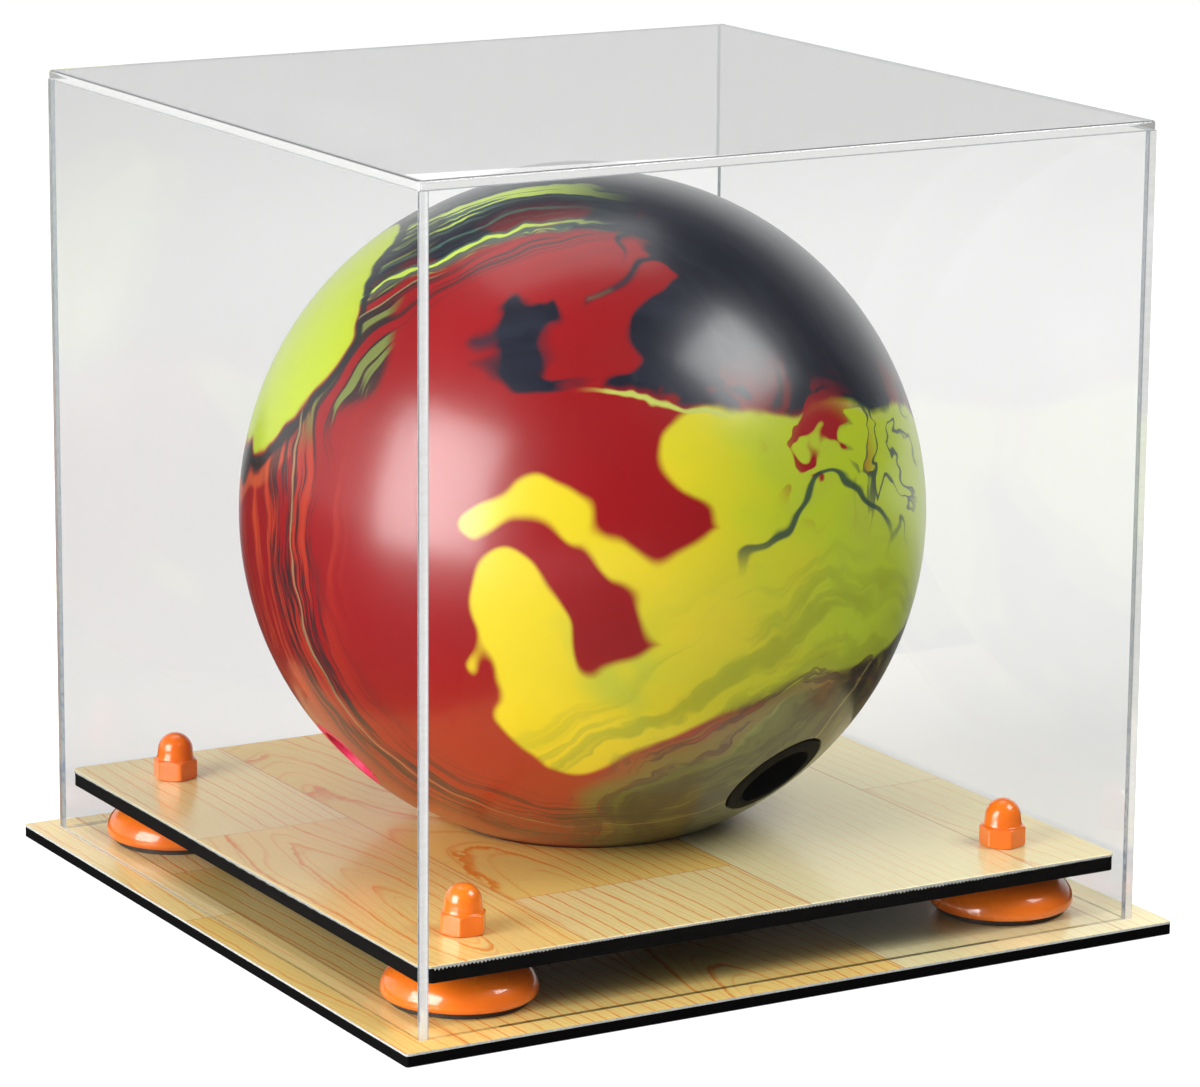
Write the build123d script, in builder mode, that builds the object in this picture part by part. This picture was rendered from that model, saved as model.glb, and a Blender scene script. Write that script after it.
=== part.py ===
from build123d import *
from math import cos, radians, sin, sqrt
import os

os.makedirs("parts", exist_ok=True)

# A display case for one bowling ball: a base board, a shelf on four domed feet with a round seat
# for the ball, and a clear five-panel cover that stands on the base and is lifted off.
# Millimetres, +Z up, front towards -Y, origin at the middle of the base board's underside.

# Cover
cover_width = 254.0
cover_depth = 254.0
ball_headroom = 21.9
panel_thickness = 3.0
panel_edge_chamfer = 0.4
top_edge_radius = 1.0
top_corner_radius = 1.8

# Base board and its film
base_overhang = 8.8
base_core_thickness = 3.3
base_film_thickness = 0.7
base_corner_radius = 1.0

# Shelf board and its film
shelf_clearance = 1.6
shelf_core_thickness = 4.7
shelf_film_thickness = 0.7
shelf_corner_radius = 2.5
film_lip = 0.3

# Feet, their rubber pads and the recess for the bolt's head
foot_radius = 22.8
foot_bottom_radius = 20.7
foot_height = 13.8
foot_dome_height = 12.0
foot_top_chamfer = 0.3
foot_dome_sweep = 90
foot_inset = 25.7
pad_radius = 20.0
pad_hole_radius = 12.0
pad_thickness = 1.8
pad_chamfer = 0.3
head_recess_radius = 9.0
head_recess_spare = 1.0

# Bolts, M8, and their cap nuts
bolt_diameter = 8.0
bolt_hole_clearance = 0.3
thread_clearance = 0.05
bolt_end_chamfer = 0.8
hex_across_flats = 13.0
bolt_head_height = 5.3
thread_grip = 9.0
nut_bore_spare = 1.5
nut_hex_height = 6.5
nut_height = 15.0
nut_dome_diameter = 12.5
nut_dome_taper = 0.3
hex_corner_chamfer = 0.9

# How far each cap nut happens to be turned, in degrees: front left, front right, back left, back right
nut_turns = (54.5, 19.0, 18.0, 37.0)

# Ball and what its holes are lined with
ball_diameter = 215.9
seat_radius = 43.6
ball_seat_gap = 0.3
thumb_hole_diameter = 34.6
thumb_hole_depth = 66.0
thumb_hole_bevel = 0.6
thumb_slug_length = 63.0
thumb_bore_diameter = 25.0
finger_hole_diameter = 27.0
finger_hole_depth = 42.0
finger_insert_length = 32.0
finger_bore_diameter = 20.0
lining_glue_gap = 0.05

# Where the holes' mouths lie on the ball, as azimuth from +X and elevation in degrees
thumb_mouth_angles = (-70.6, -43.0)
finger_mouth_angles = {"front": (174.8, -42.3), "back": (154.8, -52.9)}

# Sizes and heights that follow from those above
base_width = cover_width + 2 * base_overhang
base_depth = cover_depth + 2 * base_overhang
base_top = base_core_thickness + base_film_thickness
inner_width = cover_width - 2 * panel_thickness
inner_depth = cover_depth - 2 * panel_thickness
shelf_width = inner_width - 2 * shelf_clearance
shelf_depth = inner_depth - 2 * shelf_clearance
foot_bottom = base_top + pad_thickness
shelf_bottom = foot_bottom + foot_height
film_bottom = shelf_bottom + shelf_core_thickness
shelf_top = film_bottom + shelf_film_thickness
bolt_spacing_x = shelf_width - 2 * foot_inset
bolt_spacing_y = shelf_depth - 2 * foot_inset
bolt_radius = bolt_diameter / 2
bolt_hole_radius = bolt_radius + bolt_hole_clearance
head_recess_depth = bolt_head_height + head_recess_spare
head_seat = foot_bottom + head_recess_depth
bolt_end = shelf_top + thread_grip
ball_radius = ball_diameter / 2
ball_height = shelf_top + sqrt((ball_radius + ball_seat_gap) ** 2 - seat_radius**2)
ball_centre = Vector(0, 0, ball_height)
cover_height = ball_height + ball_radius + ball_headroom + panel_thickness - base_top
wall_height = cover_height - panel_thickness

corners = {
    "front_left": (-bolt_spacing_x / 2, -bolt_spacing_y / 2),
    "front_right": (bolt_spacing_x / 2, -bolt_spacing_y / 2),
    "back_left": (-bolt_spacing_x / 2, bolt_spacing_y / 2),
    "back_right": (bolt_spacing_x / 2, bolt_spacing_y / 2),
}


def save(part, name):
    """Label a finished piece and write it to its own file."""
    part.label = name
    export_step(part, f"parts/{name}.step")


def upright_plane(x, y, z):
    """The vertical plane through a point: its x runs along +X and its y runs up."""
    return Plane(origin=(x, y, z), x_dir=(1, 0, 0), z_dir=(0, -1, 0))


def vertical_axis(x, y):
    return Axis((x, y, 0), (0, 0, 1))


def towards(azimuth, elevation):
    """The unit vector at an azimuth from +X and an elevation."""
    flat = cos(radians(elevation))
    return Vector(
        flat * cos(radians(azimuth)),
        flat * sin(radians(azimuth)),
        sin(radians(elevation)),
    )


# Base: a black board, and the wood-grain film that covers it
with BuildPart() as base_board:
    with BuildSketch():
        RectangleRounded(base_width, base_depth, base_corner_radius)
    extrude(amount=base_core_thickness)
save(base_board.part, "base_board")

with BuildPart() as base_laminate:
    with BuildSketch(Plane.XY.offset(base_core_thickness)):
        RectangleRounded(base_width, base_depth, base_corner_radius)
    extrude(amount=base_film_thickness)
save(base_laminate.part, "base_laminate")

# Shelf: a thicker board under the same film, both cut through for the ball's seat and the bolts
with BuildPart() as shelf_board:
    with BuildSketch(Plane.XY.offset(shelf_bottom)):
        RectangleRounded(
            shelf_width - 2 * film_lip,
            shelf_depth - 2 * film_lip,
            shelf_corner_radius - film_lip,
        )
        Circle(seat_radius, mode=Mode.SUBTRACT)
        with GridLocations(bolt_spacing_x, bolt_spacing_y, 2, 2):
            Circle(bolt_hole_radius, mode=Mode.SUBTRACT)
    extrude(amount=shelf_core_thickness)
save(shelf_board.part, "shelf_board")

with BuildPart() as shelf_laminate:
    with BuildSketch(Plane.XY.offset(film_bottom)):
        RectangleRounded(shelf_width, shelf_depth, shelf_corner_radius)
        Circle(seat_radius, mode=Mode.SUBTRACT)
        with GridLocations(bolt_spacing_x, bolt_spacing_y, 2, 2):
            Circle(bolt_hole_radius, mode=Mode.SUBTRACT)
    extrude(amount=shelf_film_thickness)
save(shelf_laminate.part, "shelf_laminate")


def make_foot(x, y):
    """A glossy dome: a quarter round at the rim, then half an ellipse up to the shelf's underside."""
    rim = foot_radius - foot_bottom_radius
    with BuildPart() as foot:
        with BuildSketch(upright_plane(x, y, foot_bottom)):
            with BuildLine():
                Line((0, 0), (foot_bottom_radius, 0))
                RadiusArc((foot_bottom_radius, 0), (foot_radius, rim), -rim)
                EllipticalCenterArc(
                    (0, rim), foot_radius, foot_dome_height, start_angle=0, arc_size=foot_dome_sweep
                )
                Line((0, rim + foot_dome_height), (0, 0))
            make_face()
        revolve(axis=vertical_axis(x, y))
        split(bisect_by=Plane.XY.offset(shelf_bottom), keep=Keep.BOTTOM)
        top_edges = foot.edges().group_by(Axis.Z)[-1]
        chamfer(top_edges, length=foot_top_chamfer)
        with Locations(Plane(origin=(x, y, foot_bottom), z_dir=(0, 0, -1))):
            CounterBoreHole(
                radius=bolt_hole_radius,
                counter_bore_radius=head_recess_radius,
                counter_bore_depth=head_recess_depth,
            )
    return foot.part


def make_pad(x, y):
    """A flat rubber ring that keeps the foot off the base."""
    with BuildPart() as pad:
        with BuildSketch(Plane.XY.offset(base_top)):
            with Locations((x, y)):
                Circle(pad_radius)
                Circle(pad_hole_radius, mode=Mode.SUBTRACT)
        extrude(amount=pad_thickness)
        outer_edges = pad.edges().filter_by(GeomType.CIRCLE).group_by(SortBy.RADIUS)[-1]
        chamfer(outer_edges, length=pad_chamfer)
    return pad.part


for corner, (corner_x, corner_y) in corners.items():
    save(make_foot(corner_x, corner_y), f"foot_{corner}")
    save(make_pad(corner_x, corner_y), f"pad_{corner}")


def make_turned_shape(x, y, bottom, height):
    """The turned shape that takes the sharp corners off a hexagon at both ends."""
    outside = hex_across_flats / sqrt(3)
    inside = outside - hex_corner_chamfer
    drop = hex_corner_chamfer / sqrt(3)
    with BuildPart() as turned:
        with BuildSketch(upright_plane(x, y, bottom)):
            with BuildLine():
                Polyline(
                    (0, 0),
                    (inside, 0),
                    (outside, drop),
                    (outside, height - drop),
                    (inside, height),
                    (0, height),
                    close=True,
                )
            make_face()
        revolve(axis=vertical_axis(x, y))
    return turned.part


def make_bolt(x, y):
    """A hexagon bolt that stands head down in the foot's recess."""
    head_bottom = head_seat - bolt_head_height
    turned = make_turned_shape(x, y, head_bottom, bolt_head_height)
    with BuildPart() as bolt:
        with BuildSketch(Plane(origin=(x, y, head_bottom))):
            RegularPolygon(hex_across_flats / 2, 6, major_radius=False)
        extrude(amount=bolt_head_height)
        add(turned, mode=Mode.INTERSECT)
        with BuildSketch(Plane(origin=(x, y, head_seat))):
            Circle(bolt_radius)
        extrude(amount=bolt_end - head_seat)
        end_edge = bolt.edges().group_by(Axis.Z)[-1]
        chamfer(end_edge, length=bolt_end_chamfer)
    return bolt.part


def make_cap_nut(x, y, turn):
    """A hexagon with a domed cap, bored blind from below for the bolt."""
    dome_radius = nut_dome_diameter / 2
    dome_top_radius = dome_radius - nut_dome_taper
    dome_start = nut_height - dome_top_radius
    turned = make_turned_shape(x, y, shelf_top, nut_hex_height)
    with BuildPart() as nut:
        with BuildSketch(Plane(origin=(x, y, shelf_top))):
            RegularPolygon(hex_across_flats / 2, 6, major_radius=False, rotation=turn)
        extrude(amount=nut_hex_height)
        add(turned, mode=Mode.INTERSECT)
        with BuildSketch(upright_plane(x, y, shelf_top)):
            with BuildLine():
                Line((0, nut_hex_height), (dome_radius, nut_hex_height))
                Line((dome_radius, nut_hex_height), (dome_top_radius, dome_start))
                RadiusArc((dome_top_radius, dome_start), (0, nut_height), -dome_top_radius)
                Line((0, nut_height), (0, nut_hex_height))
            make_face()
        revolve(axis=vertical_axis(x, y))
        with Locations(Plane(origin=(x, y, shelf_top), z_dir=(0, 0, -1))):
            Hole(bolt_radius + thread_clearance, depth=thread_grip + nut_bore_spare)
    return nut.part


bolts = [make_bolt(x, y) for x, y in corners.values()]
cap_nuts = [make_cap_nut(x, y, turn) for (x, y), turn in zip(corners.values(), nut_turns)]
save(Compound(children=bolts), "foot_bolts")
save(Compound(children=cap_nuts), "cap_nuts")

# Cover: side panels over the full depth, front and back panels between them, the top over all four
side_x = (cover_width - panel_thickness) / 2
end_y = (cover_depth - panel_thickness) / 2


def make_side_panel(x):
    """A side wall; its two outer upright edges are broken."""
    with BuildPart() as panel:
        with BuildSketch(Plane(origin=(x, 0, base_top))):
            Rectangle(panel_thickness, cover_depth)
        extrude(amount=wall_height)
        upright_edges = panel.edges().filter_by(Axis.Z)
        outward = Axis.X if x > 0 else -Axis.X
        chamfer(upright_edges.group_by(outward)[-1], length=panel_edge_chamfer)
    return panel.part


def make_end_panel(y):
    """A front or back wall, held between the side walls."""
    with BuildPart() as panel:
        with BuildSketch(Plane(origin=(0, y, base_top))):
            Rectangle(inner_width, panel_thickness)
        extrude(amount=wall_height)
    return panel.part


save(make_side_panel(-side_x), "cover_left_panel")
save(make_side_panel(side_x), "cover_right_panel")
save(make_end_panel(-end_y), "cover_front_panel")
save(make_end_panel(end_y), "cover_back_panel")

with BuildPart() as cover_top:
    with BuildSketch(Plane.XY.offset(base_top + wall_height)):
        RectangleRounded(cover_width, cover_depth, top_corner_radius)
    extrude(amount=panel_thickness)
    rim_edges = cover_top.edges().group_by(Axis.Z)[-1]
    fillet(rim_edges, radius=top_edge_radius)
save(cover_top.part, "cover_top_panel")


# From the ball's centre to each hole's mouth; the two finger holes are drilled parallel
thumb_mouth = towards(*thumb_mouth_angles)
finger_mouths = {place: towards(*angles) for place, angles in finger_mouth_angles.items()}
finger_drilling = (finger_mouths["front"] + finger_mouths["back"]).normalized()


def hole_plane(mouth, drilling, depth):
    """The plane across a hole at a depth below its mouth, facing outwards along the hole."""
    return Plane(origin=ball_centre + mouth * ball_radius - drilling * depth, z_dir=drilling)


def rim_plane(mouth, hole_diameter):
    """The flat plane through the rim of a hole's mouth, facing outwards."""
    rim_distance = sqrt(ball_radius**2 - (hole_diameter / 2) ** 2)
    return Plane(origin=ball_centre + mouth * rim_distance, z_dir=mouth)


# Ball: a sphere in the seat, drilled for a thumb and two fingers
with BuildPart() as ball:
    with Locations(ball_centre):
        Sphere(ball_radius)
    with BuildSketch(hole_plane(thumb_mouth, thumb_mouth, thumb_hole_depth)):
        Circle(thumb_hole_diameter / 2)
    extrude(amount=2 * thumb_hole_depth, mode=Mode.SUBTRACT)
    thumb_rim_centre = rim_plane(thumb_mouth, thumb_hole_diameter).origin
    thumb_rim = ball.edges().filter_by(GeomType.CIRCLE).sort_by_distance(thumb_rim_centre)[0]
    chamfer(thumb_rim, length=thumb_hole_bevel)
    for finger_mouth in finger_mouths.values():
        with BuildSketch(hole_plane(finger_mouth, finger_drilling, finger_hole_depth)):
            Circle(finger_hole_diameter / 2)
        extrude(amount=2 * finger_hole_depth, mode=Mode.SUBTRACT)
save(ball.part, "ball")

# Thumb slug: a tube glued into its hole and rounded off with the ball
with BuildPart() as thumb_slug:
    with BuildSketch(hole_plane(thumb_mouth, thumb_mouth, thumb_slug_length)):
        Circle(thumb_hole_diameter / 2 - lining_glue_gap)
        Circle(thumb_bore_diameter / 2, mode=Mode.SUBTRACT)
    extrude(amount=2 * thumb_slug_length)
    with Locations(ball_centre):
        Sphere(ball_radius, mode=Mode.INTERSECT)
save(thumb_slug.part, "thumb_slug")


def make_finger_insert(mouth):
    """A soft tube glued into a finger hole, its outer end cut flat across the rim."""
    with BuildPart() as insert:
        with BuildSketch(hole_plane(mouth, finger_drilling, finger_insert_length)):
            Circle(finger_hole_diameter / 2 - lining_glue_gap)
            Circle(finger_bore_diameter / 2, mode=Mode.SUBTRACT)
        extrude(amount=2 * finger_insert_length)
        split(bisect_by=rim_plane(mouth, finger_hole_diameter), keep=Keep.BOTTOM)
    return insert.part


for place, finger_mouth in finger_mouths.items():
    save(make_finger_insert(finger_mouth), f"finger_insert_{place}")
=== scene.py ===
"""Looks of the bowling ball display case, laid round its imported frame.

A clear cover of five panels stands over a marbled ball in the seat of a wood-grain shelf,
which stands on four orange feet on a wood-grain base. Lengths are metres in the frame's own axes.
"""

import math

import bpy
import numpy as np
from bpy.props import FloatProperty, FloatVectorProperty, PointerProperty
from mathutils import Matrix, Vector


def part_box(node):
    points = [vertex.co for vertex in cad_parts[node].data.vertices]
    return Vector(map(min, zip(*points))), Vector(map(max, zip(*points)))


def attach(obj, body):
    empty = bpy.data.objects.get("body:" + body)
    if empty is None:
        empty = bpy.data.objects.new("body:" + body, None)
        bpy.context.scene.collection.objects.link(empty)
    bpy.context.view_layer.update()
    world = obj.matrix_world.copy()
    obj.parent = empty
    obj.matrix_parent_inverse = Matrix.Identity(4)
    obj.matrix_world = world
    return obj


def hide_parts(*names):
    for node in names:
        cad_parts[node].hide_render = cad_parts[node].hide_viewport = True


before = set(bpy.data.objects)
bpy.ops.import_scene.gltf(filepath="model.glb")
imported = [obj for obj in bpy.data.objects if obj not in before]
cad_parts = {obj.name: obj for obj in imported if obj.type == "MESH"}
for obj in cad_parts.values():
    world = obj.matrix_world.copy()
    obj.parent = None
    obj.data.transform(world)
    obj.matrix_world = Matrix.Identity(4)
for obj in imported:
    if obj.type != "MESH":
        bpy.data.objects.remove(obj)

bl_info = {
    "name": "Ball display case",
    "version": (1, 0, 0),
    "blender": (4, 5, 0),
    "location": "3D View > Sidebar > Display Case",
    "description": "Dresses the frame of a display case for a bowling ball",
    "category": "Object",
}

MM = 0.001
SHELF_CORNER = 2.5 * MM
CORNERS = {
    "front_left": (-1, -1),
    "front_right": (1, -1),
    "back_left": (-1, 1),
    "back_right": (1, 1),
}


def linear(red, green, blue):
    """A colour given in 0 to 255 display values, as the linear light that the shaders use."""
    levels = np.array([red, green, blue]) / 255
    return tuple(
        float(v) for v in np.where(levels < 0.04045, levels / 12.92, ((levels + 0.055) / 1.055) ** 2.4)
    )


def colour(name, description, value):
    return FloatVectorProperty(
        name=name, description=description, default=value, subtype="COLOR", min=0, max=1, size=3
    )


def length(name, description, millimetres):
    return FloatProperty(
        name=name, description=description, default=millimetres * MM, unit="LENGTH", min=0, precision=5
    )


def watts(name, description, value):
    return FloatProperty(name=name, description=description, default=value, unit="POWER", min=0, max=500)


# Shader graphs


class Wire:
    """An output socket. Arithmetic on it adds Math nodes to its graph."""

    def __init__(self, graph, socket):
        self.graph = graph
        self.socket = socket

    def _math(self, operation, *values):
        return self.graph.add("ShaderNodeMath", {"operation": operation}, dict(enumerate(values)))

    def __add__(self, other):
        return self._math("ADD", self, other)

    def __radd__(self, other):
        return self._math("ADD", other, self)

    def __sub__(self, other):
        return self._math("SUBTRACT", self, other)

    def __rsub__(self, other):
        return self._math("SUBTRACT", other, self)

    def __mul__(self, other):
        return self._math("MULTIPLY", self, other)

    def __rmul__(self, other):
        return self._math("MULTIPLY", other, self)

    def __truediv__(self, other):
        return self._math("DIVIDE", self, other)

    def __rtruediv__(self, other):
        return self._math("DIVIDE", other, self)

    def __neg__(self):
        return self._math("MULTIPLY", self, -1.0)

    def __abs__(self):
        return self._math("ABSOLUTE", self)

    def __gt__(self, other):
        return self._math("GREATER_THAN", self, other)

    def __lt__(self, other):
        return self._math("LESS_THAN", self, other)

    def wave(self):
        return self._math("SINE", self)

    def fraction(self):
        return self._math("FRACT", self)

    def least(self, other):
        return self._math("MINIMUM", self, other)

    def most(self, other):
        return self._math("MAXIMUM", self, other)

    def root(self):
        return self._math("SQRT", self)

    def smooth(self, low, high):
        """0 below low, 1 above high and a smooth rise between."""
        return self.graph.add(
            "ShaderNodeMapRange",
            {"interpolation_type": "SMOOTHSTEP"},
            {"Value": self, "From Min": low, "From Max": high},
        )

    def near(self, low, high):
        """1 where the value is within low of 0, falling smoothly to 0 where it is high away or more."""
        return 1.0 - abs(self).smooth(low, high)

    def take(self, name):
        """Another output of the same node."""
        return Wire(self.graph, self.socket.node.outputs[name])


class Graph:
    """The node tree of one material."""

    def __init__(self, name):
        self.material = bpy.data.materials.new(name)
        self.material.use_nodes = True
        self.tree = self.material.node_tree
        self.tree.nodes.clear()

    def add(self, kind, settings=None, inputs=None, out=None):
        """Adds a node: its settings first, then its sockets' values or links."""
        node = self.tree.nodes.new(kind)
        for key, value in (settings or {}).items():
            if key == "stops":
                fill_ramp(node.color_ramp, value)
            elif key == "ramp_interpolation":
                node.color_ramp.interpolation = value
            else:
                setattr(node, key, value)
        for key, value in (inputs or {}).items():
            socket = find_socket(node.inputs, key)
            if isinstance(value, Wire):
                self.tree.links.new(value.socket, socket)
            else:
                socket.default_value = value
        return Wire(self, find_socket(node.outputs, 0 if out is None else out))

    def place(self):
        """The object's own coordinates, in metres."""
        return self.add("ShaderNodeTexCoord", out="Object")

    def point(self, scale, shift=(0, 0, 0), turn=(0, 0, 0)):
        """The object's own coordinates, scaled, turned and moved."""
        inputs = {"Vector": self.place(), "Location": shift, "Rotation": turn, "Scale": scale}
        return self.add("ShaderNodeMapping", {"vector_type": "POINT"}, inputs)

    def split(self, vector):
        parts = self.add("ShaderNodeSeparateXYZ", None, {0: vector}, out="X")
        return parts, parts.take("Y"), parts.take("Z")

    def join(self, x, y, z):
        return self.add("ShaderNodeCombineXYZ", None, {"X": x, "Y": y, "Z": z})

    def noise(self, vector, scale, detail=2.0, roughness=0.5, distortion=0.0, out=0):
        inputs = {
            "Vector": vector,
            "Scale": scale,
            "Detail": detail,
            "Roughness": roughness,
            "Distortion": distortion,
        }
        return self.add("ShaderNodeTexNoise", {"noise_dimensions": "3D"}, inputs, out=out)

    def mix(self, factor, first, second, blend="MIX"):
        """Colours mixed by a factor."""
        inputs = {"Factor": factor, "A": as_colour(first), "B": as_colour(second)}
        settings = {"data_type": "RGBA", "blend_type": blend, "clamp_factor": True}
        return self.add("ShaderNodeMix", settings, inputs, out="Result")

    def vector_math(self, operation, *values, out=0):
        inputs = dict(enumerate(values))
        return self.add("ShaderNodeVectorMath", {"operation": operation}, inputs, out=out)

    def steps(self, factor, colours):
        """One colour of a row, each of which holds over an equal stretch of a factor from 0 to 1."""
        stops = [(i / len(colours), each) for i, each in enumerate(colours)]
        settings = {"ramp_interpolation": "CONSTANT", "stops": stops}
        return self.add("ShaderNodeValToRGB", settings, {"Fac": factor}, out="Color")

    def bump(self, height, strength, distance):
        inputs = {"Height": height, "Strength": strength, "Distance": distance}
        return self.add("ShaderNodeBump", None, inputs)

    def blend(self, factor, first, second):
        """Two shaders mixed by a factor."""
        return self.add("ShaderNodeMixShader", None, {0: factor, 1: first, 2: second})

    def principled(self, **sockets):
        """A Principled shader; socket names are written with underscores."""
        inputs = {key.replace("_", " "): as_colour(value) for key, value in sockets.items()}
        return self.add("ShaderNodeBsdfPrincipled", None, inputs)

    def finish(self, shader):
        self.add("ShaderNodeOutputMaterial", None, {"Surface": shader})


def as_colour(value):
    """A tuple of three gets its alpha; anything else stays."""
    return (*value, 1.0) if isinstance(value, tuple) and len(value) == 3 else value


def find_socket(sockets, key):
    """A socket by number, or the shown one with that name."""
    if len(sockets) == 0:
        return None
    if isinstance(key, int):
        return sockets[key]
    return next(s for s in sockets if s.name == key and s.enabled)


def fill_ramp(ramp, stops):
    """Gives a colour ramp its stops, each a position and a colour."""
    elements = ramp.elements
    while len(elements) < len(stops):
        elements.new(1.0)
    for element, (position, value) in zip(elements, stops):
        element.position = position
        element.color = as_colour(value)


def dress(piece, material):
    """Puts one material on a whole piece."""
    piece.data.materials.clear()
    piece.data.materials.append(material)


# Meshes from grids of points


def add_mesh(name, vertices, faces, sharp_angle=None):
    """Makes a mesh object from arrays of corners and of faces with three or four corners."""
    mesh = bpy.data.meshes.new(name)
    counts = np.concatenate([np.full(len(f), f.shape[1]) for f in faces])
    corners = np.concatenate([f.ravel() for f in faces]).astype(np.int32)
    starts = np.concatenate([[0], np.cumsum(counts)[:-1]]).astype(np.int32)
    mesh.vertices.add(len(vertices))
    mesh.vertices.foreach_set("co", np.asarray(vertices, np.float32).ravel())
    mesh.loops.add(len(corners))
    mesh.loops.foreach_set("vertex_index", corners)
    mesh.polygons.add(len(counts))
    mesh.polygons.foreach_set("loop_start", starts)
    mesh.polygons.foreach_set("use_smooth", np.ones(len(counts), bool))
    mesh.update(calc_edges=True)
    mesh.validate()
    if sharp_angle is not None:
        mesh.set_sharp_from_angle(angle=sharp_angle)
    piece = bpy.data.objects.new(name, mesh)
    bpy.context.scene.collection.objects.link(piece)
    return piece


def grid_faces(rows, columns, loop=False):
    """Quads between neighbouring rows of closed rings of points; loop joins the last row to the first."""
    row = np.arange(rows if loop else rows - 1)[:, None]
    column = np.arange(columns)[None, :]
    above, below = row * columns, (row + 1) % rows * columns
    right = (column + 1) % columns
    return np.stack([above + column, above + right, below + right, below + column], -1).reshape(-1, 4)


def turned_surface(name, grid, sharp_angle):
    """A closed skin over rows of points that go round an axis. Each end is closed to its middle point."""
    rows, columns = grid.shape[:2]
    vertices = np.concatenate([grid.reshape(-1, 3), grid[:1].mean(1), grid[-1:].mean(1)])
    quads = grid_faces(rows, columns)
    column = np.arange(columns)
    after = (column + 1) % columns
    first = np.stack([np.full(columns, rows * columns), after, column], -1)
    last_row = (rows - 1) * columns
    last = np.stack([np.full(columns, rows * columns + 1), last_row + column, last_row + after], -1)
    return add_mesh(name, vertices, [quads, first, last], sharp_angle)


def soft_least(first, second, width):
    """The smaller of two values, with the corner between them rounded over a width: where they are
    closer than that, a share of each, less the width times the product of both shares."""
    first_share = np.clip(0.5 + 0.5 * (second - first) / width, 0, 1)
    second_share = 1 - first_share
    return second * second_share + first * first_share - width * first_share * second_share


# Settings


class BoardSettings(bpy.types.PropertyGroup):
    pale_wood: colour("Pale wood", "Colour of the palest planks", linear(238, 229, 180))
    golden_wood: colour("Golden wood", "Colour of the golden planks", linear(238, 202, 114))
    grain_line: colour("Grain line", "Colour of the printed grain lines", linear(222, 130, 40))
    film_edge: colour("Film edge", "Colour of the laminate film where it is cut", linear(196, 198, 193))
    board_black: colour("Board", "Colour of the boards under the film", linear(6, 5, 6))
    tooth_pitch: length("Tooth pitch", "Distance between the saw's teeth in the shelf film", 1.3)
    tooth_depth: length("Tooth depth", "How far the deepest of those teeth hang over the board", 0.95)


class FixingSettings(bpy.types.PropertyGroup):
    orange: colour("Orange", "Colour of the paint on feet and cap nuts", linear(248, 122, 22))
    rubber: colour("Rubber", "Colour of the pads under the feet", linear(46, 38, 32))
    steel: colour("Steel", "Colour of the bolts", linear(170, 172, 175))
    edge_round: length("Edge rounding", "Rounding that the paint gives the cap nuts' edges", 0.30)


class CoverSettings(bpy.types.PropertyGroup):
    tint: colour("Tint", "Colour that the clear panels let through", (0.975, 0.976, 0.972))
    index: FloatProperty(name="Refraction", description="Refractive index of acrylic", default=1.49, min=1)


class BallSettings(bpy.types.PropertyGroup):
    red: colour("Red", "Main colour of the ball", linear(142, 11, 18))
    navy: colour("Navy", "Dark colour of the ball", linear(25, 27, 40))
    yellow: colour("Yellow", "Warm light colour of the ball", linear(212, 190, 28))
    lime: colour("Lime", "Cool light colour of the ball", linear(172, 190, 34))
    olive: colour("Olive", "Colour where lime and navy are stirred together", linear(92, 95, 38))
    insert: colour("Insert", "Colour of the finger inserts", linear(226, 40, 92))
    slug: colour("Slug", "Colour of the thumb slug", linear(12, 11, 11))


class StageSettings(bpy.types.PropertyGroup):
    left_power: watts("Left lamp", "Power of the soft box at the left", 36.0)
    right_power: watts("Right lamp", "Power of the lamp at the upper right", 13.5)
    top_power: watts("Top lamp", "Power of the soft lamp overhead", 4.5)


# Boards


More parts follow.
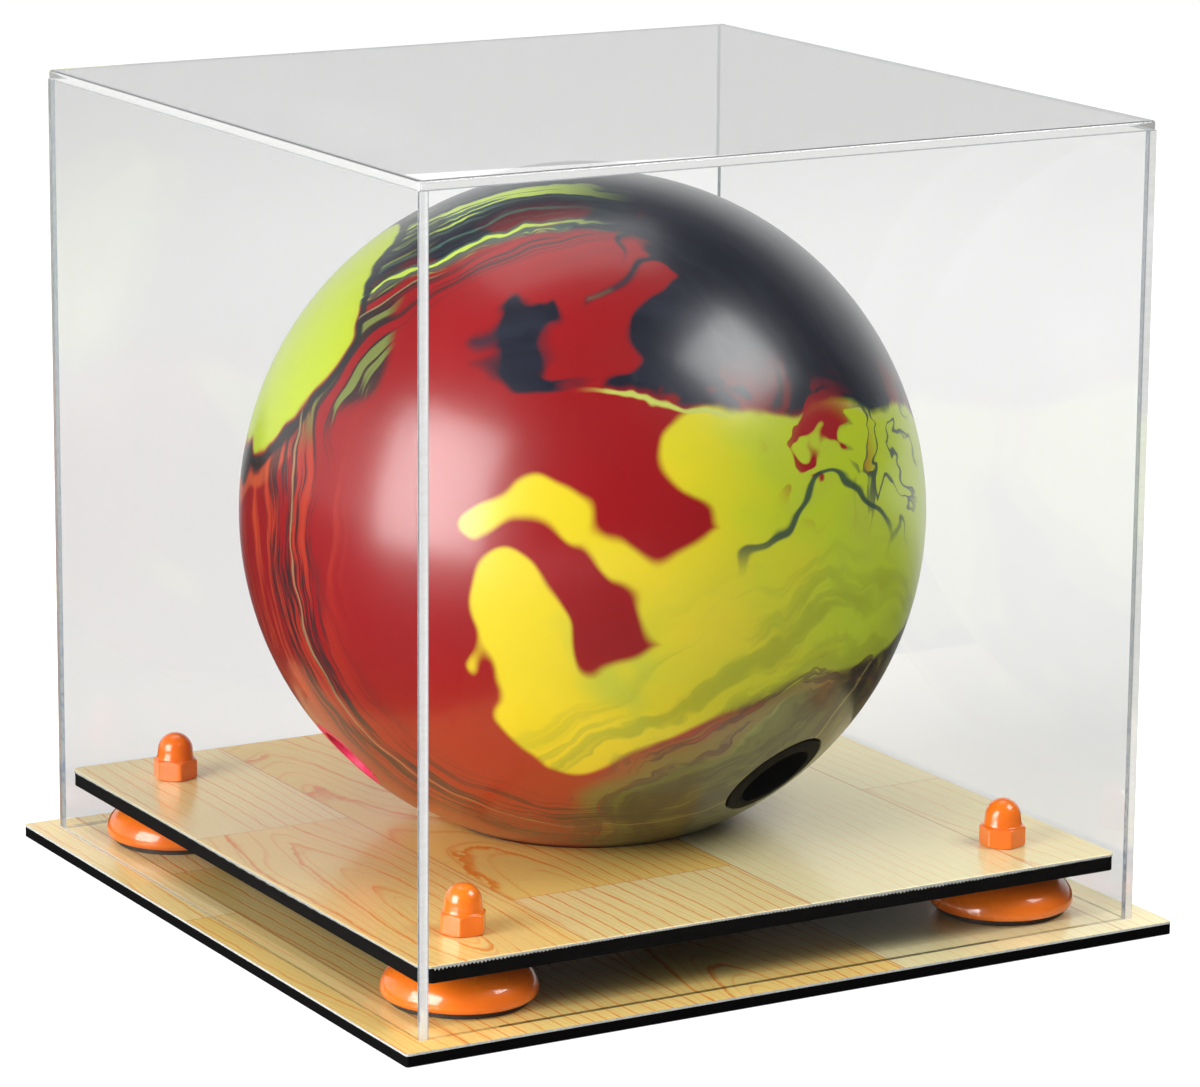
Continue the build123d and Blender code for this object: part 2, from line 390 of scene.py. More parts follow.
def wood_material(name, settings, seams, joints, tones, swirls, shift):
    """Planks along Y, with places in millimetres. Seams lie between the planks, and each plank's joint
    splits it into two pieces. Tones give each piece its warmth, its share of grain lines and how far
    they arch, and swirls the middle of its arches."""
    g = Graph(name)
    x, y, z = g.split(g.place())
    x = x * 1000.0
    y = y * 1000.0
    span = 600.0

    def steps_of_places(factor, places):
        """A place for each step. A ramp holds 0 to 1, so it is stored as a share of the span."""
        shares = [((place + span / 2) / span,) * 3 for place in places]
        return g.split(g.steps(factor, shares))[0] * span - span / 2

    def own_noise(scale_x, scale_y, detail, roughness, other=0.0):
        """Noise with its own stretch for each piece of plank."""
        spot = g.vector_math("ADD", g.join(x * scale_x, y * scale_y, other), own)
        return g.noise(spot, 1.0, detail, roughness)

    plank = sum(((x > seam) * 1.0 for seam in seams[1:]), start=(x > seams[0]) * 1.0)
    joint_y = steps_of_places((plank + 0.5) / len(joints), joints)
    piece = plank * 2.0 + (y > joint_y)
    step = (piece + 0.5) / len(tones)
    warm, line_share, bend = g.split(g.steps(step, tones))
    own = g.join(piece * 37.0 + shift, piece * 11.3 - shift, piece * 5.1)

    # Grain lines are rings round the middle of an arch, or straight where the bend is 0
    ring_gap, drift_reach, arch_slope = 5.0, 10.0, 0.16
    drift = own_noise(0.030, 0.0075, 1.0, 0.5) - 0.5
    dx = x - steps_of_places(step, [swirl[0] for swirl in swirls])
    dy = (y - steps_of_places(step, [swirl[1] for swirl in swirls])) * arch_slope
    arch = (dx * dx + dy * dy).root()
    rings = (dx + (arch - dx) * bend + drift * drift_reach) / ring_gap
    wobble = own_noise(0.12, 0.05, 3.0, 0.6) - 0.5
    phase = (rings + wobble * 0.5).fraction()
    line = phase.smooth(0.82, 0.95) * (1.0 - phase.smooth(0.96, 1.0))
    second = (rings * 2.7 + drift * 3.0).fraction()
    thin_line = second.smooth(0.74, 0.93) * (1.0 - second.smooth(0.95, 1.0))
    fade = own_noise(0.05, 0.012, 2.0, 0.5).smooth(0.26, 0.54)
    lines = (line * 0.95 + thin_line * 0.40) * fade * line_share

    # Fibres, flecks and a slow change of shade
    fibre = own_noise(2.1, 0.085, 2.0, 0.6, z * 40.0)
    fleck = g.noise(g.join(x * 1.5, y * 0.55, 3.0), 1.0, 2.0, 0.6)
    cloud = own_noise(0.022, 0.009, 2.0, 0.5, 1.7)
    ground = g.mix(warm, tuple(settings.pale_wood), tuple(settings.golden_wood))
    shade = 0.86 + cloud * 0.16 + (fibre - 0.5) * 0.20 + (fleck - 0.5) * 0.10
    ground = g.vector_math("MULTIPLY", ground, g.join(shade, shade, shade))
    grained = g.mix(lines, ground, tuple(settings.grain_line))

    # Seams between planks and butt joints
    seam = sum(((x - each).near(0.16, 0.5) for each in seams[1:]), start=(x - seams[0]).near(0.16, 0.5))
    butt = (y - joint_y).near(0.12, 0.42)
    cut = seam.most(butt * 0.75) * (0.45 + fibre * 0.5)
    planks = g.mix(cut * 0.85, grained, linear(190, 104, 44))

    # Where the film is cut its pale core shows
    normal = g.add("ShaderNodeTexCoord", out="Normal")
    upright = g.split(normal)[2].near(0.35, 0.7)
    edge_noise = g.noise(g.join(x * 1.3, y * 1.3, z * 900.0), 1.0, 3.0, 0.65)
    edge = g.mix(edge_noise.smooth(0.3, 0.75), linear(164, 166, 162), tuple(settings.film_edge))
    skin = g.mix(upright, planks, edge)

    grit = g.noise(g.join(x * 2.6, y * 2.6, 0.0), 1.0, 3.0, 0.6)
    shader = g.principled(
        Base_Color=skin,
        Roughness=0.16 + grit * 0.12 + upright * 0.35 + lines * 0.04,
        Normal=g.bump(grit * 0.75 + fibre * 0.35 - lines * 0.25 - cut * 0.5, 0.5, 0.14 * MM),
        Specular_IOR_Level=0.5,
        Coat_Weight=0.4,
        Coat_Roughness=0.12,
    )
    g.finish(shader)
    return g.material


def board_material(settings):
    """Black board: faint saw marks on its sides, dust specks and a satin skin."""
    g = Graph("black_board")
    place = g.place()
    x, y, z = g.split(place)
    specks = g.noise(place, 2600.0, 2.0, 0.6).smooth(0.70, 0.80)
    patches = g.noise(place, 60.0, 3.0, 0.5)
    tone = g.mix(patches, tuple(settings.board_black), linear(10, 9, 10))
    dusty = g.mix(specks * 0.35, tone, linear(96, 94, 88))
    saw = ((x + y) * 5200.0 + patches * 4.0).wave() * 0.5 + 0.5
    layers = g.noise(g.join(x * 30.0, y * 30.0, z * 2400.0), 1.0, 2.0, 0.6)
    shader = g.principled(
        Base_Color=dusty,
        Roughness=0.50 + patches * 0.2,
        Normal=g.bump(saw * 0.4 + layers * 0.8 + specks, 0.3, 0.08 * MM),
        Specular_IOR_Level=0.08,
    )
    g.finish(shader)
    return g.material


def rounded_square(half, radius, count):
    """Points and outward directions at even steps along a square with rounded corners. A quarter of the
    way is one straight side and the arc after it, and the first side starts at the front left."""
    straight = 2 * (half - radius)
    arc = radius * math.pi / 2
    side = straight + arc
    along = np.arange(count) * (4 * side / count)
    quarter = np.floor(along / side).astype(int) % 4
    rest = along - quarter * side
    on_arc = rest > straight
    bend = np.where(on_arc, (rest - straight) / radius, 0.0)
    x = np.where(on_arc, half - radius + radius * np.sin(bend), -half + radius + rest)
    y = np.where(on_arc, -half + radius - radius * np.cos(bend), -half)
    out_x, out_y = np.sin(bend), -np.cos(bend)
    cos_q, sin_q = np.cos(quarter * np.pi / 2), np.sin(quarter * np.pi / 2)
    points = np.stack([x * cos_q - y * sin_q, x * sin_q + y * cos_q], -1)
    outward = np.stack([out_x * cos_q - out_y * sin_q, out_x * sin_q + out_y * cos_q], -1)
    return points, outward, along


def shelf_film(settings):
    """The shelf's film as one closed ring from the seat hole to the outline. Its lower outer edge carries
    the saw's teeth: a triangle wave along the edge, with a slow cosine times a quick sine as its depth."""
    low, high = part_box("shelf_laminate")
    half, bottom, top = high.x, low.z, high.z
    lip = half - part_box("shelf_board")[1].x
    teeth = round(8 * half / settings.tooth_pitch)
    points_a_tooth = 4
    points, outward, along = rounded_square(half, SHELF_CORNER, teeth * points_a_tooth)
    pitch = along[-1] / teeth
    tooth = np.abs(((along / pitch) % 1.0) * 2 - 1)
    deepest, stretch, flutter = 168 * MM, 28 * MM, 1 / 0.9 * MM
    slow = 0.62 + 0.38 * np.cos((along - deepest) / stretch)
    quick = 0.85 + 0.15 * np.sin(along / flutter)
    drop = settings.tooth_depth * tooth * slow * quick
    angle = np.arctan2(points[:, 1], points[:, 0])
    circle = np.stack([np.cos(angle), np.sin(angle)], -1)
    inner = circle * seat_radius()

    def ring(flat, height):
        return np.column_stack([flat, np.broadcast_to(height, len(flat))])

    round_off = 0.18 * MM
    rows = np.stack(
        [
            ring(inner, bottom),
            ring(inner, top - round_off),
            ring(inner + circle * round_off, top),
            ring(points - outward * round_off, top),
            ring(points, top - round_off),
            ring(points - outward * (0.1 * lip), bottom - drop),
            ring(points - outward * (0.9 * lip), bottom - drop * 0.9),
            ring(points - outward * lip, bottom),
        ]
    )
    faces = grid_faces(len(rows), len(points), loop=True)[:, ::-1]
    return add_mesh("shelf_film", rows.reshape(-1, 3), [faces], math.radians(40))


def seat_radius():
    """Radius of the shelf's seat hole: the least distance of the board's mesh from the middle."""
    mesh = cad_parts["shelf_board"].data
    flat = np.empty(len(mesh.vertices) * 3, np.float32)
    mesh.vertices.foreach_get("co", flat)
    return float(np.hypot(*flat.reshape(-1, 3)[:, :2].T).min())


class CASE_OT_boards(bpy.types.Operator):
    """Dress the base and shelf boards and build the shelf's film"""

    bl_idname = "case.boards"
    bl_label = "Boards"

    def execute(self, context):
        settings = context.scene.case_boards
        shelf_wood = wood_material(
            "shelf_wood",
            settings,
            seams=(-68.75, 9.5, 91.5),
            joints=(27.2, -75.8, 62.0, -22.8),
            tones=(
                (0.80, 0.85, 0.8),
                (0.40, 0.65, 0.1),
                (0.45, 1.00, 0.1),
                (1.00, 1.00, 0.65),
                (0.15, 0.30, 0.0),
                (0.30, 0.40, 0.2),
                (0.25, 0.35, 0.3),
                (0.15, 0.30, 0.0),
            ),
            swirls=(
                (-96, -75),
                (-100, 160),
                (-30, -260),
                (-46, -120),
                (50, -200),
                (60, 140),
                (106, -180),
                (108, 60),
            ),
            shift=3.0,
        )
        base_wood = wood_material(
            "base_wood",
            settings,
            seams=(-115.5, -38.0, 35.8, 117.0),
            joints=(12.2, 60.0, -40.0, 30.0, 80.0),
            tones=(
                (0.90, 0.75, 0.2),
                (0.60, 0.55, 0.1),
                (0.85, 1.00, 0.1),
                (0.45, 0.80, 0.2),
                (0.90, 1.00, 0.9),
                (0.75, 0.85, 0.3),
                (0.15, 0.25, 0.0),
                (0.20, 0.25, 0.0),
                (0.12, 0.35, 0.0),
                (0.12, 0.30, 0.0),
            ),
            swirls=(
                (-125, -200),
                (-126, 160),
                (-76, -260),
                (-80, 240),
                (-14, -176),
                (-8, 160),
                (74, -200),
                (80, 120),
                (126, -180),
                (126, 160),
            ),
            shift=19.0,
        )
        film = shelf_film(settings)
        dress(film, shelf_wood)
        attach(film, "stand")
        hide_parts("shelf_laminate")
        dress(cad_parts["shelf_laminate"], shelf_wood)
        dress(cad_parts["base_laminate"], base_wood)
        black = board_material(settings)
        for node in ("base_board", "shelf_board"):
            dress(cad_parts[node], black)
        return {"FINISHED"}


# Feet, pads, bolts and cap nuts


def paint_material(name, settings):
    """Glossy orange paint with a slight orange-peel skin, slow patches of deeper colour and pale specks."""
    g = Graph(name)
    place = g.place()
    peel = g.noise(place, 420.0, 2.0, 0.5)
    fine = g.noise(place, 1500.0, 2.0, 0.5)
    cloud = g.noise(place, 55.0, 2.0, 0.5)
    orange = tuple(settings.orange)
    deep = tuple(c * f for c, f in zip(orange, (0.93, 0.82, 0.7)))
    skin = g.mix(cloud.smooth(0.35, 0.7), orange, deep)
    specks = fine.smooth(0.74, 0.8)
    skin = g.mix(specks * 0.25, skin, linear(250, 190, 140))
    shader = g.principled(
        Base_Color=skin,
        Roughness=0.24 + cloud * 0.08,
        Normal=g.bump(peel + fine * 0.25, 0.22, 0.05 * MM),
        Coat_Weight=1.0,
        Coat_Roughness=0.03,
        Coat_IOR=1.5,
    )
    g.finish(shader)
    return g.material


def rubber_material(settings):
    """Matt black rubber with a fine grain and brownish dust."""
    g = Graph("pad_rubber")
    place = g.place()
    grain = g.noise(place, 2200.0, 3.0, 0.65)
    dust = g.noise(place, 300.0, 3.0, 0.6)
    skin = g.mix(dust.smooth(0.4, 0.8), tuple(settings.rubber), linear(66, 56, 48))
    bump = g.bump(grain, 0.4, 0.06 * MM)
    g.finish(g.principled(Base_Color=skin, Roughness=0.55 + dust * 0.2, Normal=bump))
    return g.material


def steel_material(settings):
    """Zinc-plated steel, with an M8 bolt's thread as a wave in its height."""
    g = Graph("bolt_steel")
    place = g.place()
    thread_pitch = 1.25 * MM
    thread = (g.split(place)[2] * 2 * math.pi / thread_pitch).wave()
    stain = g.noise(place, 260.0, 3.0, 0.6)
    skin = g.mix(stain, tuple(settings.steel), linear(120, 122, 126))
    bump = g.bump(thread, 0.5, 0.2 * MM)
    g.finish(g.principled(Base_Color=skin, Metallic=1.0, Roughness=0.3 + stain * 0.25, Normal=bump))
    return g.material


def cap_nut(name, centre, foot, turn, settings):
    """A cap nut as rows round its axis. A row's reach is the lesser of a hexagon's and of the turned
    profile's: chamfer, side, chamfer, shoulder and dome. Turn is the angle of a corner, in degrees."""
    flats = 6.5 * MM
    corner = flats / math.cos(math.pi / 6)
    hex_height, height = 6.5 * MM, 15.0 * MM
    dome, taper = 6.0 * MM, 0.35 * MM
    dome_top = dome - taper
    chamfer = 1.215 * MM
    chamfer_drop = chamfer / math.sqrt(3)
    side_drop = 1.35 * MM / math.sqrt(3)
    shoulder = 0.6 * MM
    rise = np.linspace(0, 1, 7)
    chamfer_out = corner - chamfer + chamfer * rise
    arc = np.linspace(0, np.pi / 2, 28)[1:-1]
    fillet = np.linspace(0, np.pi / 2, 8)
    reach = np.concatenate(
        [
            [flats * 0.4, flats * 0.75],
            chamfer_out,
            [corner, corner, corner],
            chamfer_out[::-1],
            dome + shoulder * (1 - np.sin(fillet)),
            dome - taper * np.linspace(0.1, 1, 5),
            dome_top * np.cos(arc),
        ]
    )
    dome_start = height - dome_top
    level = np.concatenate(
        [
            [0, 0],
            chamfer_drop * rise**1.4,
            np.linspace(side_drop, hex_height - side_drop, 3),
            hex_height - chamfer_drop * rise[::-1] ** 1.4,
            hex_height + shoulder * (1 - np.cos(fillet)),
            np.linspace(hex_height + shoulder * 1.2, dome_start, 5),
            dome_start + dome_top * np.sin(arc),
        ]
    )
    columns = 144
    angle = np.linspace(0, 2 * np.pi, columns, endpoint=False)
    from_flat = (angle - math.radians(turn)) % (np.pi / 3) - np.pi / 6
    worn, wear = corner - 0.05 * MM, 0.25 * MM
    hexagon = soft_least(flats / np.cos(from_flat), np.full_like(angle, worn), wear)
    radius = soft_least(hexagon[None, :], reach[:, None], settings.edge_round)
    in_hexagon = level < hex_height + 0.01 * MM
    radius = np.where(in_hexagon[:, None], radius, np.minimum(reach[:, None], radius))
    grid = np.stack(
        [
            centre[0] + radius * np.cos(angle),
            centre[1] + radius * np.sin(angle),
            foot + np.broadcast_to(level[:, None], radius.shape),
        ],
        -1,
    )
    return turned_surface(name, grid, math.radians(48))


class CASE_OT_fixings(bpy.types.Operator):
    """Dress the feet, pads and bolts and build the painted cap nuts"""

    bl_idname = "case.fixings"
    bl_label = "Feet and cap nuts"

    def execute(self, context):
        settings = context.scene.case_fixings
        paint = paint_material("orange_foot_paint", settings)
        nut_paint = paint_material("orange_nut_paint", settings)
        rubber = rubber_material(settings)
        for corner in CORNERS:
            dress(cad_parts[f"foot_{corner}"], paint)
            dress(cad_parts[f"pad_{corner}"], rubber)
        dress(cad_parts["foot_bolts"], steel_material(settings))
        dress(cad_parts["cap_nuts"], nut_paint)
        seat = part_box("cap_nuts")[0].z
        turns = {"front_left": 54.5, "front_right": 19.0, "back_left": 18.0, "back_right": 37.0}
        foot_low, foot_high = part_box("foot_front_right")
        spot_x, spot_y = (foot_low.x + foot_high.x) / 2, -(foot_low.y + foot_high.y) / 2
        for corner, (side, end) in CORNERS.items():
            centre = (side * spot_x, end * spot_y)
            nut = cap_nut(f"cap_nut_{corner}", centre, seat, turns[corner], settings)
            dress(nut, nut_paint)
            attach(nut, "stand")
            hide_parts("cap_nuts")
        return {"FINISHED"}


# Cover


def acrylic_material(settings):
    """Clear acrylic. The saw left the sheets' cut ends whitish, with fine marks, and the glued joints
    between the sheets are cloudy, with bluish dashes. The back of the lower rim is whitish too."""
    g = Graph("clear_acrylic")
    place = g.place()
    x, y, z = g.split(place)
    low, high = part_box("cover_left_panel")
    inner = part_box("cover_front_panel")[1].x
    outer = -low.x
    wall_top = high.z
    edge_y = high.y - (high.x - low.x)
    slack = 0.05 * MM

    # Where the cut ends, the glued joints, the lower rim and the lid's edges are
    wall = z < wall_top - slack
    lid = z > wall_top + slack
    end = (abs(y) > high.y - 0.3 * MM) * (abs(x) > inner + 0.06 * MM) * wall
    upright_joint = (abs(x) > inner - 0.08 * MM) * (abs(x) < inner + slack) * (abs(y) > edge_y - slack)
    on_walls = ((abs(x) > inner) * 1.0).most((abs(y) > edge_y) * 1.0)
    top_joint = (abs(z - wall_top) < 0.06 * MM) * on_walls
    joint = (upright_joint * wall).most(top_joint)
    rim = (z - low.z).near(0.30 * MM, 0.60 * MM) * y.smooth(-0.02, 0.10)
    lid_edge = lid * (abs(x).most(abs(y)) > outer - 0.2 * MM)

    saw_pitch = 1.05 * MM
    marks = (z * 2 * math.pi / saw_pitch + abs(x) * 1500.0).wave()
    mark_noise = g.noise(g.join(x * 90.0, y * 90.0, z * 700.0), 1.0, 2.0, 0.6)
    dash_noise = g.noise(g.join((x + y) * 160.0, (x - y) * 160.0, z * 420.0), 1.0, 2.0, 0.65)
    sway = g.noise(place, 9.0, 1.0, 0.5)
    tint = g.mix(sway, tuple(settings.tint), tuple(c * 0.992 for c in settings.tint))
    clear = g.principled(
        Base_Color=tint,
        Roughness=end * 0.04,
        Normal=g.bump(marks * end * 0.5 + sway * 0.6, 0.25, 0.06 * MM),
        IOR=settings.index,
        Transmission_Weight=1.0,
    )
    thin = g.add("ShaderNodeBsdfTransparent", None, {"Color": (0.985, 0.988, 0.985, 1.0)})

    # The whitish parts: each end has a grey line along both of its edges
    chalk_tone = g.mix(mark_noise, linear(252, 251, 248), linear(234, 235, 236))
    edges = (outer - abs(x)).near(0.25 * MM, 0.50 * MM).most((abs(x) - inner).near(0.15 * MM, 0.40 * MM))
    chalk_tone = g.mix(edges * end, chalk_tone, linear(168, 170, 172))
    chalk_tone = g.mix(joint, chalk_tone, linear(142, 145, 148))
    chalk_tone = g.mix(lid, chalk_tone, linear(196, 196, 193))
    # Painted shade: on the back half of the walls the whitish cut ends, joints and rim are painted grey,
    # darker than at the front
    chalk_tone = g.mix((y > 0.0) * wall * 0.6, chalk_tone, linear(132, 138, 138))
    dashes = dash_noise.smooth(0.50, 0.60) * (0.25 + (0.10 - z).smooth(0.0, 0.06) * 0.5)
    chalk_tone = g.mix(joint * dashes, chalk_tone, linear(96, 108, 132))
    front_lit = g.principled(Base_Color=chalk_tone, Roughness=0.9, Specular_IOR_Level=0.0)
    back_lit = g.add("ShaderNodeBsdfTranslucent", None, {"Color": (0.80, 0.81, 0.81, 1.0)})
    chalk = g.blend(0.15, front_lit, back_lit)
    frosted = (end * (0.62 + mark_noise * 0.25)).most(rim * 0.6).most(joint * 0.8).most(lid_edge * 0.28)
    g.finish(g.blend(seen_directly(g), thin, g.blend(frosted, clear, chalk)))
    return g.material


class CASE_OT_cover(bpy.types.Operator):
    """Make the five panels of the cover clear"""

    bl_idname = "case.cover"
    bl_label = "Clear cover"

    def execute(self, context):
        acrylic = acrylic_material(context.scene.case_cover)
        for side in ("left", "right", "front", "back", "top"):
            dress(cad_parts[f"cover_{side}_panel"], acrylic)
        return {"FINISHED"}


# Ball


def direction(azimuth, elevation):
    """The unit vector at an azimuth from +X and an elevation, in degrees."""
    flat = math.cos(math.radians(elevation))
    return np.array(
        [
            flat * math.cos(math.radians(azimuth)),
            flat * math.sin(math.radians(azimuth)),
            math.sin(math.radians(elevation)),
        ]
    )


THUMB = direction(-70.6, -43.0)
FINGERS = (direction(174.8, -42.3), direction(154.8, -52.9))
BALL_RADIUS = (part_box("ball")[1].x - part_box("ball")[0].x) / 2
THUMB_RADIUS = 17.3 * MM
THUMB_DEPTH = 66.0 * MM
FINGER_RADIUS = 13.5 * MM
FINGER_DEPTH = 42.0 * MM
BEVEL = 0.8 * MM


def ball_centre():
    """The ball's middle, one radius below its highest point."""
    return np.array([0.0, 0.0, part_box("ball")[1].z - BALL_RADIUS])


def ball_surface(name):
    """The ball as circles round its thumb hole's axis: up the hole's wall, over the bevel and then a
    sphere's polar angles. Points within a finger hole's cylinder are carried down its wall by how far
    inside the rim they lie, and points close to the rim are drawn onto it."""
    columns, near_rows, far_rows = 480, 44, 128
    rim_angle = math.asin((THUMB_RADIUS + BEVEL) / BALL_RADIUS)
    near_end, far_end = math.radians(60), math.radians(179.2)
    near = np.linspace(rim_angle, near_end, near_rows)
    polar = np.concatenate([near, np.linspace(near_end, far_end, far_rows)[1:]])
    rim_up = BALL_RADIUS * math.cos(rim_angle)
    bottom_up = BALL_RADIUS - THUMB_DEPTH
    hole_flat = np.array([0.4, 0.8, 1.0, 1.0, 1.0]) * THUMB_RADIUS
    hole_up = np.array([bottom_up, bottom_up, bottom_up, rim_up - 20 * MM, rim_up - BEVEL])
    flat = np.concatenate([hole_flat, BALL_RADIUS * np.sin(polar)])
    up = np.concatenate([hole_up, BALL_RADIUS * np.cos(polar)])
    azimuth = np.linspace(0, 2 * np.pi, columns, endpoint=False)
    side = np.cross(THUMB, [0, 0, 1])
    side /= np.linalg.norm(side)
    other = np.cross(THUMB, side)
    around = np.cos(azimuth)[:, None] * side + np.sin(azimuth)[:, None] * other
    grid = flat[:, None, None] * around[None] + up[:, None, None] * THUMB
    skin = grid[len(hole_flat) :]
    for finger in FINGERS:
        skin[:] = sink_finger(skin, finger)
    return turned_surface(name, grid + ball_centre(), math.radians(50))


def sink_finger(points, mouth):
    """Carries the points inside one finger hole down its wall and floor. The rim is where the hole's
    cylinder meets the sphere: its height along the drilling is the root of the sphere's radius squared
    less the distance from the drilling's axis through the middle squared."""
    drilling = FINGERS[0] + FINGERS[1]
    drilling = drilling / np.linalg.norm(drilling)
    start = mouth * BALL_RADIUS
    along = (points - start) @ drilling
    across = points - start - along[..., None] * drilling
    reach = np.linalg.norm(across, axis=-1)
    tiny = 1e-9
    outward = across / np.maximum(reach, tiny)[..., None]
    drawn_in, drawn_out = FINGER_RADIUS - 0.75 * MM, FINGER_RADIUS + 0.9 * MM
    near = (points @ drilling > 0) & (reach < drawn_out)
    rim_flat = start + outward * FINGER_RADIUS
    rim_flat_along = rim_flat @ drilling
    off_axis = rim_flat - rim_flat_along[..., None] * drilling
    rim_rise = np.sqrt(np.maximum(BALL_RADIUS**2 - (off_axis**2).sum(-1), 0)) - rim_flat_along
    rim = rim_flat + rim_rise[..., None] * drilling
    wall_share = np.clip((drawn_in - reach) / (FINGER_RADIUS * 0.6), 0, 1)
    floor_reach = FINGER_RADIUS * 0.35
    floor_share = np.clip((floor_reach - reach) / floor_reach, 0, 1)
    sunk = rim - drilling * (wall_share * (FINGER_DEPTH + rim_rise))[..., None]
    sunk = sunk - outward * (floor_share * FINGER_RADIUS)[..., None]
    moved = np.where((reach > drawn_in)[..., None], rim, sunk)
    return np.where(near[..., None], moved, points)


def marble_material(settings):
    """Stirred resin. Every field of colour is a cap of the sphere, where a direction's dot product passes
    a level, or a row of strokes, where the distance to a segment is below a width. Turbulence of three
    sizes folds their edges, and threads run along them."""
    g = Graph("marbled_ball")
    unit = g.point(scale=(1 / BALL_RADIUS,) * 3, shift=tuple(-ball_centre() / BALL_RADIUS))
    height = g.split(unit)[2]

    # Directions from the ball's middle
    to_right, to_back = (0.867, -0.498, 0.0), (0.486, 0.846, -0.22)
    cap_aim, disc_aim = (0.136, 0.189, 0.973), (-0.58, -0.782, 0.23)
    lime_aim, low_aim = (-0.777, 0.299, 0.554), (0.176, -0.673, -0.719)
    loops_aim, curls_aim, arc_aim = (0.56, -0.80, 0.26), (0.257, -0.911, 0.324), (0.20, -0.97, 0.03)

    def stir(vector, scale, reach, seed):
        """Moves a point by up to half a reach along each axis, in folds of a scale."""
        source = g.vector_math("ADD", vector, (seed, seed * 0.7, -seed))
        swirl = g.vector_math("SUBTRACT", g.noise(source, scale, 1.0, 0.5, out="Color"), (0.5, 0.5, 0.5))
        return g.vector_math("MULTIPLY_ADD", swirl, (reach, reach, reach), vector)

    def lean(vector, aim):
        """How far a vector points along an aim, as their dot product."""
        return g.vector_math("DOT_PRODUCT", vector, aim, out="Value")

    def stroke(vector, start, end, width):
        """A width less the distance to a segment, so it is above 0 inside the stroke."""
        start, end = np.array(start), np.array(end)
        axis = end - start
        reach = float(axis @ axis)
        along = (lean(vector, tuple(axis / reach)) - float(start @ axis) / reach).least(1.0).most(0.0)
        nearest = g.vector_math("MULTIPLY_ADD", g.join(along, along, along), tuple(axis), tuple(start))
        return width - g.vector_math("DISTANCE", vector, nearest, out="Value")

    def joined(vector, strokes, soft):
        """Strokes that flow into each other over a soft width."""
        field = stroke(vector, *strokes[0])
        for each in strokes[1:]:
            values = {0: field, 1: stroke(vector, *each), 2: soft}
            field = g.add("ShaderNodeMath", {"operation": "SMOOTH_MAX"}, values)
        return field

    def close_to(aim, low, high):
        """1 within a low distance of a direction, falling to 0 at a high one."""
        return 1.0 - g.vector_math("DISTANCE", unit, aim, out="Value").smooth(low, high)

    def strands(vector, aim, side, fine, long, seed):
        """Noise drawn out along a side direction and fine across it."""
        place = g.join(lean(vector, aim) * fine, lean(vector, side) * long + seed, lean(unit, side) * long)
        return g.noise(place, 1.0, 3.0, 0.6)

    folded = stir(stir(unit, 2.2, 0.16, 2.3), 6.0, 0.07, 5.1)
    curled = stir(stir(folded, 3.4, 0.34, 7.7), 9.0, 0.12, 1.9)
    frayed = stir(folded, 16.0, 0.03, 3.9)
    right = lean(unit, to_right)
    left = 0.0 - right
    back = lean(unit, to_back)
    far = back.smooth(0.15, 0.45)

    # Warm and cool light fields
    crest = joined(
        folded,
        (
            ((-0.73, -0.66, 0.18), (-0.604, -0.761, 0.235), 0.045),
            ((-0.604, -0.761, 0.235), (-0.497, -0.850, 0.173), 0.062),
            ((-0.497, -0.850, 0.173), (-0.392, -0.918, 0.063), 0.034),
            ((-0.392, -0.918, 0.063), (-0.20, -0.97, -0.02), 0.06),
            ((-0.20, -0.97, -0.02), (0.10, -0.98, 0.02), 0.15),
        ),
        0.05,
    )
    swirl = joined(
        folded,
        (
            ((-0.68, -0.73, -0.03), (-0.61, -0.77, -0.17), 0.125),
            ((-0.725, -0.68, -0.08), (-0.735, -0.63, -0.22), 0.03),
            ((-0.60, -0.78, -0.18), (-0.53, -0.76, -0.38), 0.13),
            ((-0.53, -0.75, -0.40), (-0.45, -0.74, -0.46), 0.15),
            ((-0.44, -0.79, -0.40), (-0.168, -0.952, -0.235), 0.16),
            ((-0.168, -0.952, -0.235), (0.149, -0.968, -0.17), 0.17),
            ((0.15, -0.97, -0.12), (0.72, -0.69, -0.10), 0.22),
        ),
        0.05,
    )
    upper_light = joined(
        folded,
        (
            ((-0.10, -0.92, 0.36), (0.30, -0.90, 0.27), 0.17),
            ((0.04, -0.97, 0.20), (0.167, -0.986, 0.0), 0.19),
            ((0.390, -0.888, 0.18), (0.80, -0.55, 0.15), 0.30),
        ),
        0.08,
    )
    light = crest.most(swirl).most(upper_light)
    behind = (g.noise(stir(unit, 1.6, 0.8, 4.4), 1.5, 1.0, 0.5) - 0.5) * far
    light = light.most(behind - 0.02)
    lime = lean(folded, lime_aim) - 0.947
    low = lean(folded, low_aim) - 0.915

    # The dark cap, the red disc that cuts into it and the patches in both
    disc = lean(folded, disc_aim) - 0.63
    notch = disc.least(0.03 - lean(curled, to_right))
    cap = lean(frayed, cap_aim)
    dark = (cap - 0.315).least(-notch)
    patches = joined(
        curled,
        (
            ((-0.55, -0.50, 0.67), (-0.43, -0.57, 0.70), 0.075),
            ((-0.56, -0.57, 0.60), (-0.40, -0.66, 0.635), 0.070),
        ),
        0.02,
    )
    islands = joined(
        curled,
        (
            ((-0.20, -0.60, 0.77), (-0.38, -0.68, 0.63), 0.075),
            ((-0.15, -0.46, 0.88), (-0.30, -0.50, 0.81), 0.045),
        ),
        0.02,
    )
    by_edge = (1.0 - dark.smooth(0.0, 0.16)) * g.noise(curled, 3.0, 2.0, 0.55).smooth(0.50, 0.56)
    dark = dark.most(patches).least(-islands)
    by_edge = by_edge * (1.0 - patches.smooth(-0.02, 0.0))

